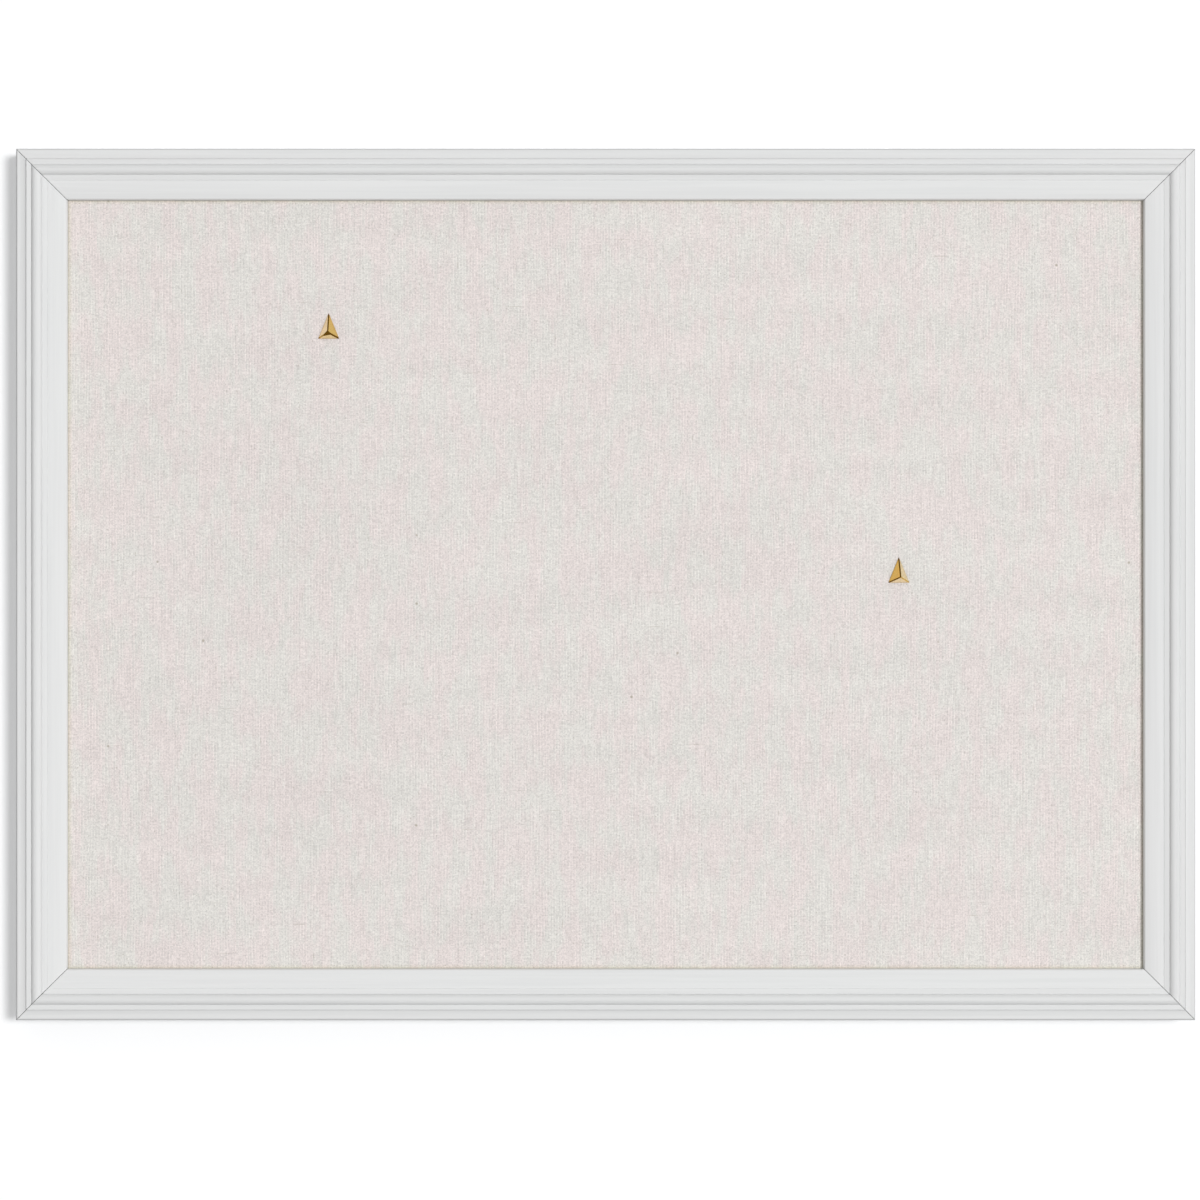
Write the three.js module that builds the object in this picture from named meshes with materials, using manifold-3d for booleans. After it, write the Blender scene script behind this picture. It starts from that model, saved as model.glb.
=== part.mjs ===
// Framed linen bulletin board with two pyramid push pins.
// Units are millimetres and +Z is up. The board hangs on a wall, the plane Y = 0, and its
// pinning face looks along -Y. The origin is on the wall, behind the middle of the board.

import * as THREE from 'three';
import { ConvexGeometry } from 'three/addons/geometries/ConvexGeometry.js';
import { mergeVertices } from 'three/addons/utils/BufferGeometryUtils.js';
import Module from 'manifold-3d';

const wasm = await Module();
wasm.setup();

// Overall size and clearances
const BOARD_WIDTH = 584.2;
const BOARD_HEIGHT = 431.8;
const FIT_GAP = 0.3; // round a piece in the pocket, slot or hole cut for it
const SEAT_GAP = 0.15; // between two flat faces that lie on each other, such as a glue line
const CUT_OVERRUN = 1; // how far a cutting shape runs past the face that it opens

// Frame moulding across its face, from the outer edge to the sight edge
const ARRIS_WIDTH = 1.4; // the rounding of the outer corner
const COVE_WIDTH = 4.25;
const OUTER_FILLET_WIDTH = 2.45;
const BEAD_WIDTH = 5.1;
const INNER_FILLET_WIDTH = 2.75;
const BAND_WIDTH = 9.45; // the broad crowned band, with the rounding at the sight edge

// Frame moulding in depth
const LIP_THICKNESS = 4; // from the rabbet's ledge to the band at the sight edge
const BAND_RISE = 1.2; // how much the band climbs towards the outer edge
const CREASE_STEP = 0.3; // step between the band and the inner fillet
const INNER_FILLET_RISE = 0.4;
const BEAD_RISE = 2.1;
const OUTER_FILLET_RISE = 0.1; // how much it climbs from the bead to the cove
const COVE_DROP = 0.5; // from the outer fillet to the upper end of the cove
const COVE_TURN = THREE.MathUtils.degToRad(28); // from level at the arris to its upper end
const ARRIS_FALL = 3;
const SIGHT_RADIUS = 0.7;

// Steps round each curve of the moulding
const ARRIS_STEPS = 4;
const COVE_STEPS = 6;
const BEAD_STEPS = 10;
const BAND_STEPS = 4;
const SIGHT_STEPS = 4;

// Rabbet and the panels in it, from the pinning face to the back
const RABBET_WIDTH = 6.35;
const PANEL_PLAY = 0.8; // between the edge of the panels and the rabbet wall
const LINEN_THICKNESS = 0.6;
const LINEN_HEM_WIDTH = 24; // the cloth turned over onto the back of the core
const CORK_THICKNESS = 3;
const CORE_THICKNESS = 5;
const BACKING_THICKNESS = 2;

// Framer's points
const POINT_WIDTH = 6;
const POINT_THICKNESS = 0.5;
const POINT_GRIP = 7; // length driven into the rabbet wall
const POINT_REACH = 8; // length over the backing panel
const POINT_TAPER = 3; // length of the pointed end
const POINT_RECESS = 1.2; // from the back of the frame to the points
const POINTS_ON_LONG_RAIL = 4;
const POINTS_ON_SHORT_RAIL = 3;

// V-nails across the mitres
const V_NAIL_LEG = 4.4;
const V_NAIL_THICKNESS = 0.6;
const V_NAIL_DEPTH = 7;
const V_NAIL_RECESS = 0.3;
const V_NAIL_HALF_ANGLE = THREE.MathUtils.degToRad(55);
const V_NAIL_OUTER_INSET = 4.2; // from the outer edges to the point of the outer V
const V_NAIL_SPACING = 7.6; // between the two Vs, measured the same way

// Sawtooth hangers
const HANGER_LENGTH = 45;
const HANGER_WIDTH = 9;
const HANGER_THICKNESS = 0.8;
const HANGER_TAB_LENGTH = 8;
const HANGER_RAMP_LENGTH = 1.5;
const HANGER_LIFT = 1; // how far the bridge stands off its tabs
const HANGER_TOOTH_PITCH = 2.4;
const HANGER_TOOTH_DEPTH = 2;
const HANGER_TOOTH_FLAT = 0.4; // width left at each tooth's tip
const HANGER_INSET = 92.1; // from the end of the top rail to the middle of the hanger
const HANGER_NAIL_LENGTH = 10;
const HANGER_NAIL_DIAMETER = 1.4;
const HANGER_NAIL_HEAD_DIAMETER = 3;
const HANGER_NAIL_HEAD_THICKNESS = 0.5;
const HANGER_NAIL_SIDES = 12;

// Wall bumpers
const BUMPER_DIAMETER = 10;
const BUMPER_THICKNESS = 2.8;
const BUMPER_EDGE_RADIUS = 1;
const BUMPER_INSET = 32; // from the end of the rail to the middle of the bumper
const BUMPER_SIDES = 24;
const BUMPER_EDGE_STEPS = 3;

// Push pins
const PIN_HEAD_WIDTH = 10.4;
const PIN_HEAD_HEIGHT = 13;
const PIN_HEAD_DEPTH = 5.8;
const PIN_APEX_RISE = 2.7; // from the lower edge of the base to the foot of the apex
const PIN_RIDGE_CHAMFER = 0.35;
const PIN_NEEDLE_DIAMETER = 1.1;
const PIN_NEEDLE_SOCKET = 2; // length held in the head
const PIN_NEEDLE_REACH = 7.6; // length under the head
const PIN_NEEDLE_TIP = 2.2;
const PIN_NEEDLE_SIDES = 12;
const PIN_LEFT_PLACE = { x: -137.4, z: 122 }; // middle of the base's lower edge
const PIN_RIGHT_PLACE = { x: 145.5, z: 0.9 };

const QUARTER_TURN = Math.PI / 2;

// Moulding, worked out
const railFace =
  ARRIS_WIDTH + COVE_WIDTH + OUTER_FILLET_WIDTH + BEAD_WIDTH + INNER_FILLET_WIDTH + BAND_WIDTH;
const linenBack = POINT_RECESS + POINT_THICKNESS + SEAT_GAP + BACKING_THICKNESS + SEAT_GAP;
const coreBack = linenBack + LINEN_THICKNESS + SEAT_GAP;
const corkBack = coreBack + CORE_THICKNESS + SEAT_GAP;
const linenFaceBack = corkBack + CORK_THICKNESS + SEAT_GAP;
const linenFront = linenFaceBack + LINEN_THICKNESS;
const rabbetDepth = linenFront + SEAT_GAP;
const bandLow = rabbetDepth + LIP_THICKNESS;
const bandHigh = bandLow + BAND_RISE;
const innerFilletLow = bandHigh + CREASE_STEP;
const beadFoot = innerFilletLow + INNER_FILLET_RISE;
const outerFilletHigh = beadFoot + OUTER_FILLET_RISE;
const coveRadius = COVE_WIDTH / Math.sin(COVE_TURN);
const coveLow = outerFilletHigh - COVE_DROP - coveRadius * (1 - Math.cos(COVE_TURN));
const backFace = railFace - RABBET_WIDTH; // width of the rail's back

// Panels, worked out
const sightWidth = BOARD_WIDTH - railFace - railFace;
const sightHeight = BOARD_HEIGHT - railFace - railFace;
const panelMargin = RABBET_WIDTH - PANEL_PLAY;
const panelWidth = sightWidth + panelMargin + panelMargin;
const panelHeight = sightHeight + panelMargin + panelMargin;
const clothInset = LINEN_THICKNESS + SEAT_GAP; // from the panel's edge to the board in the cloth
const frameStandoff = BUMPER_THICKNESS + SEAT_GAP; // from the wall to the back of the frame
const linenFrontY = -(frameStandoff + linenFront);

const board = new THREE.Group();
const frame = new THREE.Group();
frame.position.set(0, -frameStandoff, 0);
board.add(frame);

// Materials

function finish(color, roughness, metalness) {
  return new THREE.MeshStandardMaterial({ color, roughness, metalness });
}

const paintedWood = () => finish(0xecedef, 0.45, 0);
const linenCloth = () => finish(0xe2dbd7, 0.95, 0);
const corkBoard = () => finish(0xb08a5e, 0.9, 0);
const softFibreboard = () => finish(0x9a8468, 0.95, 0);
const hardboard = () => finish(0x6d4a30, 0.7, 0);
const zincSteel = () => finish(0xa9abad, 0.4, 0.9);
const blackRubber = () => finish(0x26262a, 0.85, 0);
const polishedBrass = () => finish(0xd8b36a, 0.18, 1);
const needleSteel = () => finish(0xc4c6c8, 0.25, 1);

// Solids

function toSolid(geometry) {
  const bare = geometry.clone();
  bare.deleteAttribute('normal');
  bare.deleteAttribute('uv');
  const merged = mergeVertices(bare);
  return new wasm.Manifold(
    new wasm.Mesh({
      numProp: 3,
      vertProperties: new Float32Array(merged.attributes.position.array),
      triVerts: new Uint32Array(merged.index.array),
    }),
  );
}

function fromSolid(solid) {
  const mesh = solid.getMesh();
  const geometry = new THREE.BufferGeometry();
  geometry.setAttribute('position', new THREE.BufferAttribute(mesh.vertProperties, mesh.numProp));
  geometry.setIndex(new THREE.BufferAttribute(mesh.triVerts, 1));
  geometry.computeVertexNormals();
  return geometry;
}

function cut(geometry, cutters) {
  let solid = toSolid(geometry);
  for (const cutter of cutters) {
    solid = solid.subtract(toSolid(cutter));
  }
  return fromSolid(solid);
}

function box(width, depth, height, x, y, z) {
  return new THREE.BoxGeometry(width, depth, height).translate(x, y, z);
}

// A prism on an outline drawn seen from the front, in X and Z, from backY forward to frontY.
function prism(points, backY, frontY) {
  const geometry = new THREE.ExtrudeGeometry(new THREE.Shape(points), {
    depth: backY - frontY,
    bevelEnabled: false,
  });
  // Stand the outline up: its second coordinate becomes Z, and its depth runs towards -Y.
  return geometry.rotateX(Math.PI / 2).translate(0, backY, 0);
}

// A round piece on an axis along Y: pairs of radius and Y, listed from the wall forward.
function turned(profile, sides, x, z) {
  const points = profile.map(([radius, y]) => new THREE.Vector2(radius, -y));
  return new THREE.LatheGeometry(points, sides).rotateX(Math.PI).translate(x, 0, z);
}

function addMesh(parent, name, geometry, material) {
  const mesh = new THREE.Mesh(geometry, material);
  mesh.name = name;
  parent.add(mesh);
  return mesh;
}

// The moulding's outline: u runs in from the outer edge, h runs forward from the back.

function arcPoints(steps, sweep, pointAt) {
  return Array.from({ length: steps + 1 }, (_, step) => pointAt((step / steps) * sweep));
}

function mouldingOutline() {
  const coveStart = ARRIS_WIDTH;
  const filletStart = coveStart + COVE_WIDTH;
  const beadStart = filletStart + OUTER_FILLET_WIDTH;
  const beadEnd = beadStart + BEAD_WIDTH;
  const crease = beadEnd + INNER_FILLET_WIDTH;
  const roundStart = railFace - SIGHT_RADIUS;

  const arris = arcPoints(ARRIS_STEPS, QUARTER_TURN, (turn) => [
    ARRIS_WIDTH * (1 - Math.cos(turn)),
    coveLow - ARRIS_FALL * (1 - Math.sin(turn)),
  ]);
  const cove = arcPoints(COVE_STEPS, COVE_TURN, (turn) => [
    coveStart + coveRadius * Math.sin(turn),
    coveLow + coveRadius * (1 - Math.cos(turn)),
  ]).slice(1);
  const beadCentre = (beadStart + beadEnd) / 2;
  const bead = Array.from({ length: BEAD_STEPS + 1 }, (_, step) => {
    const turn = (step / BEAD_STEPS) * Math.PI;
    return [beadCentre - (BEAD_WIDTH / 2) * Math.cos(turn), beadFoot + BEAD_RISE * Math.sin(turn)];
  });
  const band = Array.from({ length: BAND_STEPS }, (_, step) => {
    const share = step / BAND_STEPS;
    return [crease + (roundStart - crease) * share, bandHigh - BAND_RISE * share * share];
  });
  const sight = arcPoints(SIGHT_STEPS, QUARTER_TURN, (turn) => [
    roundStart + SIGHT_RADIUS * Math.sin(turn),
    bandLow - SIGHT_RADIUS * (1 - Math.cos(turn)),
  ]);

  return [
    [0, 0],
    ...arris,
    ...cove,
    [filletStart, outerFilletHigh],
    ...bead,
    [crease, innerFilletLow],
    ...band,
    ...sight,
    [railFace, rabbetDepth],
    [backFace, rabbetDepth],
    [backFace, 0],
  ];
}

// A rail lies along X with its outer edge at Z = 0, its back at Y = 0 and its ends mitred.
function railBlank(length) {
  const outline = mouldingOutline().map(([u, h]) => new THREE.Vector2(u, h));
  const geometry = new THREE.ExtrudeGeometry(new THREE.Shape(outline), {
    depth: length,
    bevelEnabled: false,
  });
  const position = geometry.attributes.position;
  const mitreSetback = (FIT_GAP / 2) * Math.SQRT2;
  for (let i = 0; i < position.count; i += 1) {
    const u = position.getX(i);
    const h = position.getY(i);
    const half = length / 2 - u - mitreSetback;
    const along = position.getZ(i) > length / 2 ? -half : half;
    position.setXYZ(i, along, -h, -u);
  }
  return geometry;
}

// V-nails lie across a mitre: the point of the V is on it and a leg goes into each rail.

function vNailOutline(thickness, leg) {
  const across = Math.sin(V_NAIL_HALF_ANGLE);
  const back = Math.cos(V_NAIL_HALF_ANGLE);
  const half = thickness / 2;
  return [
    [0, half / across],
    [-leg * across - half * back, -leg * back + half * across],
    [-leg * across + half * back, -leg * back - half * across],
    [0, -half / across],
    [leg * across - half * back, -leg * back - half * across],
    [leg * across + half * back, -leg * back + half * across],
  ];
}

// Seen from the front, the V's point looks out at the corner, along the mitre.
function vNail(thickness, leg, backY, frontY, x, z, turn) {
  const points = vNailOutline(thickness, leg).map(([a, b]) => new THREE.Vector2(a, b));
  return prism(points, backY, frontY).rotateY(turn).translate(x, 0, z);
}

const vNailInsets = [V_NAIL_OUTER_INSET, V_NAIL_OUTER_INSET + V_NAIL_SPACING];

function vNailSlots(length) {
  const slots = [];
  for (const side of [-1, 1]) {
    for (const inset of vNailInsets) {
      slots.push(
        vNail(
          V_NAIL_THICKNESS + FIT_GAP + FIT_GAP,
          V_NAIL_LEG + FIT_GAP,
          CUT_OVERRUN,
          -(V_NAIL_RECESS + V_NAIL_DEPTH + FIT_GAP),
          side * (length / 2 - inset),
          -inset,
          (side * Math.PI) / 4,
        ),
      );
    }
  }
  return slots;
}

// Framer's points lie flat on the backing, with the pointed end in the rabbet wall.

function pointPlaces(length, count) {
  const span = length - railFace - railFace;
  return Array.from({ length: count }, (_, i) => ((i + 0.5) / count - 0.5) * span);
}

function pointSlots(length, count) {
  const width = POINT_WIDTH + FIT_GAP + FIT_GAP;
  const thickness = POINT_THICKNESS + FIT_GAP + SEAT_GAP;
  const depth = POINT_GRIP + FIT_GAP + CUT_OVERRUN;
  const middleY = -(POINT_RECESS - FIT_GAP + thickness / 2);
  const middleZ = -(backFace - POINT_GRIP - FIT_GAP + depth / 2);
  return pointPlaces(length, count).map((x) => box(width, thickness, depth, x, middleY, middleZ));
}

function framersPoint() {
  const half = POINT_WIDTH / 2;
  const tip = -(backFace - POINT_GRIP);
  const shoulder = tip - POINT_TAPER;
  const foot = -(backFace + POINT_REACH);
  const outline = [
    new THREE.Vector2(0, tip),
    new THREE.Vector2(-half, shoulder),
    new THREE.Vector2(-half, foot),
    new THREE.Vector2(half, foot),
    new THREE.Vector2(half, shoulder),
  ];
  return prism(outline, -POINT_RECESS, -(POINT_RECESS + POINT_THICKNESS));
}

// Hangers: a strip whose ends are nailed to the rail and whose middle stands off it.

const hangerNailPlaces = [-1, 1].map((side) => (side * (HANGER_LENGTH - HANGER_TAB_LENGTH)) / 2);
const hangerMiddleZ = -backFace / 2;
const hangerPlaces = [
  ['left', HANGER_INSET - BOARD_WIDTH / 2],
  ['right', BOARD_WIDTH / 2 - HANGER_INSET],
];

function hangerNailHole(x, z, backY, frontY) {
  const radius = HANGER_NAIL_DIAMETER / 2 + FIT_GAP;
  return turned([[0, backY], [radius, backY], [radius, frontY], [0, frontY]], HANGER_NAIL_SIDES, x, z);
}

function hangerNailHoles() {
  const bottom = -(HANGER_NAIL_LENGTH + FIT_GAP);
  const holes = [];
  for (const [, middle] of hangerPlaces) {
    for (const place of hangerNailPlaces) {
      holes.push(hangerNailHole(middle + place, hangerMiddleZ, CUT_OVERRUN, bottom));
    }
  }
  return holes;
}

function hanger() {
  const end = HANGER_LENGTH / 2;
  const tab = end - HANGER_TAB_LENGTH;
  const bridge = tab - HANGER_RAMP_LENGTH;
  const low = SEAT_GAP;
  const lowTop = low + HANGER_THICKNESS;
  const high = low + HANGER_LIFT;
  const highTop = high + HANGER_THICKNESS;
  const strip = [
    [-end, low], [-tab, low], [-bridge, high], [bridge, high], [tab, low], [end, low],
    [end, lowTop], [tab, lowTop], [bridge, highTop], [-bridge, highTop], [-tab, lowTop], [-end, lowTop],
  ].map(([x, y]) => new THREE.Vector2(x, y));
  const body = new THREE.ExtrudeGeometry(new THREE.Shape(strip), {
    depth: HANGER_WIDTH,
    bevelEnabled: false,
  }).translate(0, 0, -HANGER_WIDTH / 2);

  const cutters = hangerNailPlaces.map((x) => hangerNailHole(x, 0, lowTop + CUT_OVERRUN, -CUT_OVERRUN));
  const toothCount = Math.floor((bridge + bridge) / HANGER_TOOTH_PITCH);
  const notchWidth = HANGER_TOOTH_PITCH - HANGER_TOOTH_FLAT;
  const lowerEdge = -HANGER_WIDTH / 2;
  for (let i = 0; i < toothCount; i += 1) {
    const x = (i - (toothCount - 1) / 2) * HANGER_TOOTH_PITCH;
    // The notch is half as wide at the strip's edge as at its mouth, as far again below.
    const notch = [
      new THREE.Vector2(x, lowerEdge + HANGER_TOOTH_DEPTH),
      new THREE.Vector2(x - notchWidth, lowerEdge - HANGER_TOOTH_DEPTH),
      new THREE.Vector2(x + notchWidth, lowerEdge - HANGER_TOOTH_DEPTH),
    ];
    cutters.push(prism(notch, highTop + CUT_OVERRUN, low - CUT_OVERRUN));
  }
  return cut(body, cutters);
}

function hangerNail() {
  const headBack = SEAT_GAP + HANGER_THICKNESS + SEAT_GAP + HANGER_NAIL_HEAD_THICKNESS;
  const headFront = headBack - HANGER_NAIL_HEAD_THICKNESS;
  const head = HANGER_NAIL_HEAD_DIAMETER / 2;
  const shank = HANGER_NAIL_DIAMETER / 2;
  const tipStart = -(HANGER_NAIL_LENGTH - HANGER_NAIL_DIAMETER);
  const profile = [
    [0, headBack],
    [head, headBack],
    [head, headFront],
    [shank, headFront],
    [shank, tipStart],
    [0, -HANGER_NAIL_LENGTH],
  ];
  return turned(profile, HANGER_NAIL_SIDES, 0, 0);
}

// Bumpers: a round pad with a rounded edge on the wall side, modelled on the wall plane.
function bumper() {
  const radius = BUMPER_DIAMETER / 2;
  const flat = radius - BUMPER_EDGE_RADIUS;
  const edge = arcPoints(BUMPER_EDGE_STEPS, QUARTER_TURN, (turn) => [
    flat + BUMPER_EDGE_RADIUS * Math.sin(turn),
    -BUMPER_EDGE_RADIUS * (1 - Math.cos(turn)),
  ]);
  return turned([[0, 0], ...edge, [radius, -BUMPER_THICKNESS], [0, -BUMPER_THICKNESS]], BUMPER_SIDES, 0, 0);
}

// Panels

function pinHoles(backY, frontY) {
  const radius = PIN_NEEDLE_DIAMETER / 2 + FIT_GAP;
  const profile = [[0, backY], [radius, backY], [radius, frontY], [0, frontY]];
  return [PIN_LEFT_PLACE, PIN_RIGHT_PLACE].map((place) =>
    turned(profile, PIN_NEEDLE_SIDES, place.x, place.z + PIN_APEX_RISE),
  );
}

function sheetBox(width, height, back, front) {
  return box(width, front - back, height, 0, -(back + front) / 2, 0);
}

function linenCover() {
  const outer = sheetBox(panelWidth, panelHeight, linenBack, linenFront);
  const wall = LINEN_THICKNESS + LINEN_THICKNESS;
  const inside = sheetBox(panelWidth - wall, panelHeight - wall, linenBack + LINEN_THICKNESS, linenFaceBack);
  const hem = LINEN_HEM_WIDTH + LINEN_HEM_WIDTH;
  const mouth = sheetBox(panelWidth - hem, panelHeight - hem, linenBack - CUT_OVERRUN, linenFaceBack);
  const holes = pinHoles(-(linenFaceBack - CUT_OVERRUN), -(linenFront + CUT_OVERRUN));
  return cut(outer, [inside, mouth, ...holes]);
}

function insideSheet(back, front) {
  const width = panelWidth - clothInset - clothInset;
  const height = panelHeight - clothInset - clothInset;
  const holes = pinHoles(-(back - CUT_OVERRUN), -(front + CUT_OVERRUN));
  return cut(sheetBox(width, height, back, front), holes);
}

function addPanels() {
  addMesh(frame, 'linen_cover', linenCover(), linenCloth());
  addMesh(frame, 'cork_sheet', insideSheet(corkBack, corkBack + CORK_THICKNESS), corkBoard());
  addMesh(frame, 'fibreboard_core', insideSheet(coreBack, coreBack + CORE_THICKNESS), softFibreboard());
  const backingBack = POINT_RECESS + POINT_THICKNESS + SEAT_GAP;
  const backing = sheetBox(panelWidth, panelHeight, backingBack, backingBack + BACKING_THICKNESS);
  addMesh(frame, 'backing_panel', backing, hardboard());
}

// Frame: each rail is made lying along X, then its group is turned to its side of the board.

const sides = [
  { name: 'top', length: BOARD_WIDTH, across: BOARD_HEIGHT, points: POINTS_ON_LONG_RAIL, turn: 0 },
  { name: 'right', length: BOARD_HEIGHT, across: BOARD_WIDTH, points: POINTS_ON_SHORT_RAIL, turn: 1 },
  { name: 'bottom', length: BOARD_WIDTH, across: BOARD_HEIGHT, points: POINTS_ON_LONG_RAIL, turn: 2 },
  { name: 'left', length: BOARD_HEIGHT, across: BOARD_WIDTH, points: POINTS_ON_SHORT_RAIL, turn: 3 },
];

function addRail({ name, length, across, points, turn }) {
  const angle = (turn * Math.PI) / 2;
  const side = new THREE.Group();
  side.rotation.y = angle;
  side.position.set((Math.sin(angle) * across) / 2, 0, (Math.cos(angle) * across) / 2);
  frame.add(side);

  const cutters = [...vNailSlots(length), ...pointSlots(length, points)];
  if (name === 'top') {
    cutters.push(...hangerNailHoles());
  }
  addMesh(side, `frame_${name}_rail`, cut(railBlank(length), cutters), paintedWood());

  pointPlaces(length, points).forEach((x, i) => {
    const point = addMesh(side, `point_${name}_${i + 1}`, framersPoint(), zincSteel());
    point.position.x = x;
  });
}

function addVNails() {
  const backY = -V_NAIL_RECESS;
  const frontY = -(V_NAIL_RECESS + V_NAIL_DEPTH);
  for (const [rowName, row] of [['top', 1], ['bottom', -1]]) {
    for (const [columnName, column] of [['left', -1], ['right', 1]]) {
      const turn = row > 0 ? (column * Math.PI) / 4 : (column * Math.PI * 3) / 4;
      vNailInsets.forEach((inset, i) => {
        const nail = vNail(V_NAIL_THICKNESS, V_NAIL_LEG, backY, frontY, 0, 0, turn);
        const mesh = addMesh(frame, `v_nail_${rowName}_${columnName}_${i + 1}`, nail, zincSteel());
        mesh.position.set(column * (BOARD_WIDTH / 2 - inset), 0, row * (BOARD_HEIGHT / 2 - inset));
      });
    }
  }
}

function addHangers() {
  const z = BOARD_HEIGHT / 2 + hangerMiddleZ;
  for (const [name, x] of hangerPlaces) {
    addMesh(frame, `hanger_${name}`, hanger(), zincSteel()).position.set(x, 0, z);
    hangerNailPlaces.forEach((place, i) => {
      const nail = addMesh(frame, `hanger_${name}_nail_${i + 1}`, hangerNail(), zincSteel());
      nail.position.set(x + place, 0, z);
    });
  }
}

function addBumpers() {
  for (const [rowName, row] of [['top', 1], ['bottom', -1]]) {
    for (const [columnName, column] of [['left', -1], ['right', 1]]) {
      const pad = addMesh(board, `bumper_${rowName}_${columnName}`, bumper(), blackRubber());
      pad.position.set(
        column * (BOARD_WIDTH / 2 - BUMPER_INSET),
        0,
        row * (BOARD_HEIGHT / 2 - backFace / 2),
      );
    }
  }
}

// Push pins: made with the needle on the Y axis and the base of the head on Y = 0.

function pinHead() {
  const half = PIN_HEAD_WIDTH / 2;
  const low = -PIN_APEX_RISE;
  const corners = [
    new THREE.Vector3(0, 0, PIN_HEAD_HEIGHT + low),
    new THREE.Vector3(-half, 0, low),
    new THREE.Vector3(half, 0, low),
  ];
  const apex = new THREE.Vector3(0, -PIN_HEAD_DEPTH, 0);
  const points = [];
  corners.forEach((corner, i) => {
    // Each of the three faces is drawn in from its ridges, which leaves a narrow chamfer.
    const next = corners[(i + 1) % corners.length];
    const along = next.clone().sub(corner).normalize().multiplyScalar(PIN_RIDGE_CHAMFER);
    const middle = corner.clone().add(next).multiplyScalar(1 / 2);
    const down = middle.sub(apex).normalize().multiplyScalar(PIN_RIDGE_CHAMFER);
    points.push(corner.clone().add(along), next.clone().sub(along), apex.clone().add(down));
  });
  const radius = PIN_NEEDLE_DIAMETER / 2 + FIT_GAP;
  const floor = -(PIN_NEEDLE_SOCKET + FIT_GAP);
  const socket = [[0, CUT_OVERRUN], [radius, CUT_OVERRUN], [radius, floor], [0, floor]];
  return cut(new ConvexGeometry(points), [turned(socket, PIN_NEEDLE_SIDES, 0, 0)]);
}

function pinNeedle() {
  const radius = PIN_NEEDLE_DIAMETER / 2;
  const profile = [
    [0, PIN_NEEDLE_REACH],
    [radius, PIN_NEEDLE_REACH - PIN_NEEDLE_TIP],
    [radius, -PIN_NEEDLE_SOCKET],
    [0, -PIN_NEEDLE_SOCKET],
  ];
  return turned(profile, PIN_NEEDLE_SIDES, 0, 0);
}

function addPin(name, place) {
  const pin = new THREE.Group();
  pin.position.set(place.x, linenFrontY - SEAT_GAP, place.z + PIN_APEX_RISE);
  board.add(pin);
  addMesh(pin, `pin_${name}_head`, pinHead(), polishedBrass());
  addMesh(pin, `pin_${name}_needle`, pinNeedle(), needleSteel());
}

sides.forEach(addRail);
addVNails();
addPanels();
addHangers();
addBumpers();
addPin('left', PIN_LEFT_PLACE);
addPin('right', PIN_RIGHT_PLACE);

export default board;
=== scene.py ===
# %% [markdown]
# # A linen bulletin board in a white moulded frame
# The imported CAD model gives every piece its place. This script keeps those places and dresses
# the model: finer mouldings, woven cloth, polished gold pins, and the steel, wood and rubber
# on the back. Every length is in metres, with +Z up and the board facing -Y.

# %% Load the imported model
from math import cos, pi, radians, sin, tan

import bmesh
import bpy
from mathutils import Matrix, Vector


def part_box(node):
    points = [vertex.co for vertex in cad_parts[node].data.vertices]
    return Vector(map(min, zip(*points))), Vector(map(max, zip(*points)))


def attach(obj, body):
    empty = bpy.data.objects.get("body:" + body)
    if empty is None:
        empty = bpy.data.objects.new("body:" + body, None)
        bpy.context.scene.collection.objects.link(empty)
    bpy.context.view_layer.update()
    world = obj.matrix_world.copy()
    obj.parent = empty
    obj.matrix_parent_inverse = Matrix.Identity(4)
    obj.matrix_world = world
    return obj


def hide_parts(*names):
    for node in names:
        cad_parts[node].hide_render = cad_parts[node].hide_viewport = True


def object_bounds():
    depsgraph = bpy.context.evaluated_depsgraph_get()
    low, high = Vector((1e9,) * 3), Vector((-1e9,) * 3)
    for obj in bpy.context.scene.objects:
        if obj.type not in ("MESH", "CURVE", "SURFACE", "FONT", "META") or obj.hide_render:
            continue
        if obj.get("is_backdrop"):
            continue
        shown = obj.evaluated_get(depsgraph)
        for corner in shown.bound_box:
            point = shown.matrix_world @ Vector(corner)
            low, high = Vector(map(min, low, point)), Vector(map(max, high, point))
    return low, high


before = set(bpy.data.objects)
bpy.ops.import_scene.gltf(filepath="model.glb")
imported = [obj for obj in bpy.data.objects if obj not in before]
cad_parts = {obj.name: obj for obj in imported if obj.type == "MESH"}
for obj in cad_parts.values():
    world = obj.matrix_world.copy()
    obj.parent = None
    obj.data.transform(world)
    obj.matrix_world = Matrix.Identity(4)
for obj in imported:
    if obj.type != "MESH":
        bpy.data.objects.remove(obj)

CAD_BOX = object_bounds()

# %% [markdown]
# ## Working habits
# Edit mode operators act on whatever is selected. So each step starts from nothing selected,
# and picks its faces, edges or vertices by where they are. These few helpers do that.

# %% Helpers for objects
MM = 0.001
TINY = 0.01 * MM
TO_VIEWER = (radians(90), 0, 0)  # the turn that makes an object's top face the viewer


def leave_edit():
    bpy.ops.object.mode_set(mode="OBJECT")


def deselect_all():
    """Leaves object mode with nothing selected."""
    if bpy.context.object and bpy.context.object.mode != "OBJECT":
        leave_edit()
    bpy.ops.object.select_all(action="DESELECT")


def make_active(piece):
    """Selects one object alone, and makes it the active one."""
    deselect_all()
    piece.select_set(True)
    bpy.context.view_layer.objects.active = piece
    return piece


def new_primitive(name, operator, **settings):
    """Adds a primitive at its size and place, and names it."""
    deselect_all()
    operator(**settings)
    piece = bpy.context.object
    piece.name = piece.data.name = name
    return piece


def settle(piece):
    """Writes the object's place into its mesh, so that the object sits at the origin."""
    make_active(piece)
    bpy.ops.object.transform_apply(location=True, rotation=True, scale=True)
    return piece


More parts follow.
